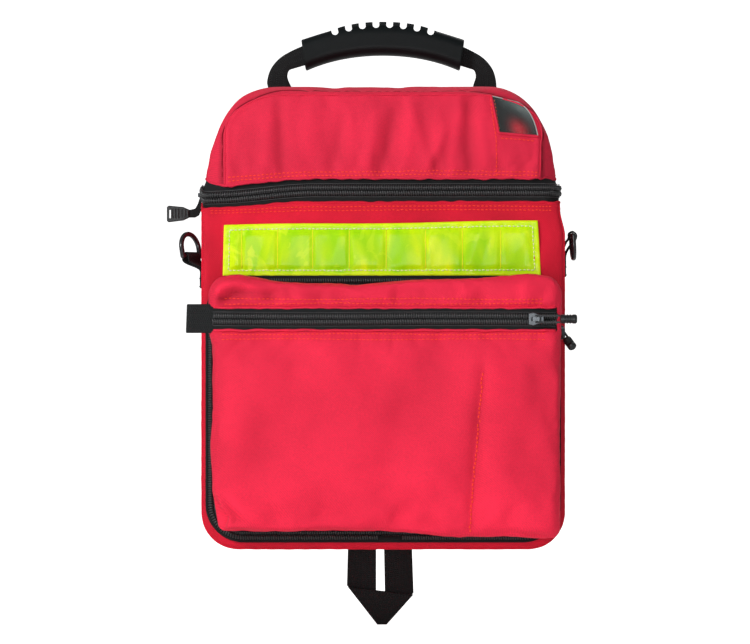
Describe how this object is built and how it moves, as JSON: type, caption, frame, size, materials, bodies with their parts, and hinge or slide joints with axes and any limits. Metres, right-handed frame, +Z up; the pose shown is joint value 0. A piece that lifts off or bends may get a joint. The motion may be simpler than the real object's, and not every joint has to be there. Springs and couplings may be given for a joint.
{
  "type": "soft responder equipment case",
  "caption": "Zipped red fabric carrying case for first responder equipment, with flip-back lid, fold-down front pocket, webbing handle with moulded grip and side rings.",
  "frame": {"origin": "middle of the case's flat base, with the pocket left out", "axes": "+Z up, -Y out of the front where the pocket is, +X to the right of a person facing the front"},
  "size_m": [0.3615, 0.1933, 0.5398],
  "materials": {
    "red_fabric": "woven polyester, matt",
    "black_webbing": "ribbed webbing",
    "zip_tape": "woven tape",
    "zip_coil": "nylon coil",
    "slider_metal": "gunmetal, semi-gloss",
    "pull_plastic": "moulded, satin",
    "pull_cord": "braided cord",
    "ring_metal": "black, semi-gloss",
    "grip_rubber": "satin",
    "reflective_tape": "glossy prismatic tape",
    "clear_vinyl": "clear film",
    "insert_card": "dark card",
    "lining_fabric": "plain weave",
    "foam": "closed-cell foam",
    "board": "stiff board"
  },
  "bodies": {
    "case": {"case_front_panel": "red_fabric", "case_back_panel": "red_fabric", "case_gusset": "red_fabric", "front_foam_pad": "foam", "back_foam_pad": "foam", "base_board": "board", "case_lining": "lining_fabric", "case_zip_tape": "zip_tape", "case_zip_coil": "zip_coil", "reflective_strip": "reflective_tape", "front_zip_tape_case": "zip_tape", "front_zip_coil_case": "zip_coil", "front_zip_end_cover": "zip_tape", "left_ring_webbing": "black_webbing", "right_ring_webbing": "black_webbing", "loop_anchor": "black_webbing", "loop_anchor_patch": "zip_tape", "lid_hinge_binding": "black_webbing"},
    "lid": {"lid_front_panel": "red_fabric", "window_panel": "red_fabric", "clear_window": "clear_vinyl", "window_insert": "insert_card", "lid_gusset": "red_fabric", "lid_back_panel": "red_fabric", "lid_lining": "lining_fabric", "lid_zip_tape": "zip_tape", "lid_zip_coil": "zip_coil", "handle_anchors": "black_webbing"},
    "handle": {"handle_webbing": "black_webbing", "handle_grip": "grip_rubber"},
    "lid_slider": {"lid_zip_slider": "slider_metal"},
    "lid_pull": {"lid_pull_tape": "zip_tape", "lid_pull_grip": "pull_plastic"},
    "pocket": {"pocket_back_panel": "red_fabric", "pocket_gusset": "red_fabric", "pocket_front_panel": "red_fabric", "pocket_top_panel": "red_fabric", "pocket_zip_tape_lower": "zip_tape", "pocket_zip_tape_upper": "zip_tape", "pocket_zip_coil_lower": "zip_coil", "pocket_zip_coil_upper": "zip_coil", "pocket_zip_end_tab": "black_webbing", "pocket_inner_sleeve": "lining_fabric", "front_zip_tape_pocket": "zip_tape", "front_zip_coil_pocket": "zip_coil"},
    "pocket_slider": {"pocket_zip_slider": "slider_metal"},
    "pocket_pull": {"pocket_pull_cord": "pull_cord", "pocket_pull_knob": "pull_plastic"},
    "front_slider": {"front_zip_slider": "slider_metal"},
    "front_pull": {"front_pull_cord": "pull_cord", "front_pull_knob": "pull_plastic"},
    "left_ring": {"left_d_ring": "ring_metal"},
    "right_ring": {"right_d_ring": "ring_metal"},
    "hang_loop": {"lower_webbing_loop": "black_webbing"}
  },
  "joints": [
    {"name": "lid_open", "type": "hinge", "parent": "case", "child": "lid", "pos_m": [0, 0.06, 0.3075], "axis": [-1, 0, 0], "range_deg": [0, 110]},
    {"name": "handle_fold", "type": "hinge", "parent": "lid", "child": "handle", "pos_m": [0, 0.0616, 0.3978], "axis": [-1, 0, 0], "range_deg": [-55, 110]},
    {"name": "lid_zip_slide", "type": "slide", "parent": "case", "child": "lid_slider", "axis": [0, -1, 0], "range_m": [0, 0.07]},
    {"name": "lid_pull_swing", "type": "hinge", "parent": "lid_slider", "child": "lid_pull", "pos_m": [-0.16145, 0.034, 0.3075], "axis": [0, 0, 1], "range_deg": [-75, 75]},
    {"name": "pocket_open", "type": "hinge", "parent": "case", "child": "pocket", "pos_m": [0, -0.0601, 0.004], "axis": [1, 0, 0], "range_deg": [0, 90]},
    {"name": "pocket_zip_slide", "type": "slide", "parent": "pocket", "child": "pocket_slider", "axis": [-1, 0, 0], "range_m": [0, 0.25]},
    {"name": "pocket_pull_swing", "type": "hinge", "parent": "pocket_slider", "child": "pocket_pull", "pos_m": [0.128, -0.10985, 0.1975], "axis": [0, 0, -1], "range_deg": [-5, 160]},
    {"name": "front_zip_slide", "type": "slide", "parent": "case", "child": "front_slider", "axis": [0, 0, -1], "range_m": [-0.01, 0.12]},
    {"name": "front_pull_swing", "type": "hinge", "parent": "front_slider", "child": "front_pull", "pos_m": [0.15215, -0.06659, 0.186], "axis": [0.866, 0.5, 0], "range_deg": [-95, 30]},
    {"name": "left_ring_swing", "type": "hinge", "parent": "case", "child": "left_ring", "pos_m": [-0.1675, -0.002, 0.2525], "axis": [-0.5299, -0.848, 0], "range_deg": [-8, 95]},
    {"name": "right_ring_swing", "type": "hinge", "parent": "case", "child": "right_ring", "pos_m": [0.1655, 0, 0.2705], "axis": [0, -1, 0], "range_deg": [-5, 150]},
    {"name": "loop_swing", "type": "hinge", "parent": "case", "child": "hang_loop", "pos_m": [0, 0.0628, -0.0016], "axis": [1, 0, 0], "range_deg": [-85, 85]}
  ]
}
